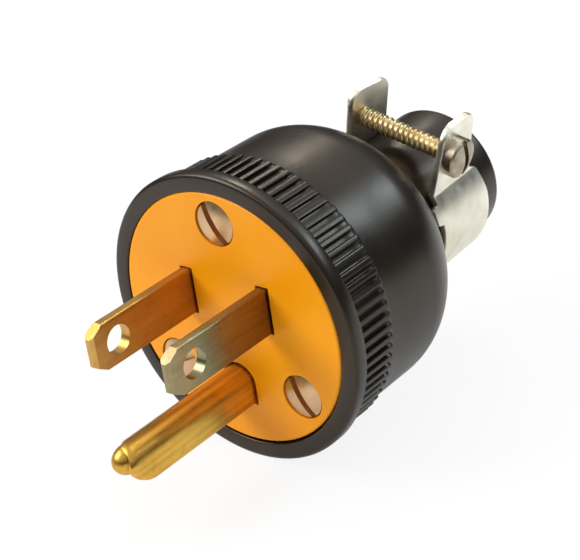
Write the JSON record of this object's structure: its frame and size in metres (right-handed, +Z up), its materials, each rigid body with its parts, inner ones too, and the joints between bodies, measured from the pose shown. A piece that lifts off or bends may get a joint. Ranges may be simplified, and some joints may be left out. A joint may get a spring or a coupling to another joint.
{
  "type": "plug connector",
  "caption": "Round rubber mains plug with two flat blades, a folded ground pin, an orange front plate, a ribbed grip band and a steel cord clamp.",
  "frame": {"origin": "the middle of the front plate's face, on the body's axis", "axes": "+Y runs back from the face along the body to the cord end, so the blades point to -Y; +Z is up, from the ground pin to the blades; +X is to the right seen from the front, towards the neutral blade"},
  "size_m": [0.0396, 0.0704, 0.0396],
  "materials": {
    "body_rubber": "satin moulded rubber, brown-black",
    "front_plastic": "satin orange moulding",
    "inner_plastic": "matt moulding",
    "blade_brass": "tarnished, drawn lengthwise",
    "blade_plated": "thin pale plating, tarnished with a heat tint round the hole",
    "pin_brass": "brushed lengthwise",
    "strap_plated": "bright zinc plate with light scuffs",
    "clamp_screw_plated": "yellow zinc plate",
    "screw_nickel": "nickel plate, slightly tarnished",
    "binding_brass": "turned",
    "binding_green": "green dyed plate",
    "inner_steel": "plain"
  },
  "bodies": {
    "root": {"housing": "body_rubber", "face_plate": "front_plastic", "terminal_block": "inner_plastic", "hot_blade": "blade_brass", "neutral_blade": "blade_plated", "ground_pin": "pin_brass", "clamp_strap": "strap_plated", "clamp_screw": "clamp_screw_plated", "hot_terminal_screw": "binding_brass", "hot_wire_clamp": "inner_steel", "neutral_terminal_screw": "screw_nickel", "neutral_wire_clamp": "inner_steel", "ground_terminal_screw": "binding_green", "ground_wire_clamp": "inner_steel", "face_screw_top": "screw_nickel", "screw_insert_top": "binding_brass", "face_screw_right": "screw_nickel", "screw_insert_right": "binding_brass", "face_screw_left": "screw_nickel", "screw_insert_left": "binding_brass"}
  },
  "joints": []
}
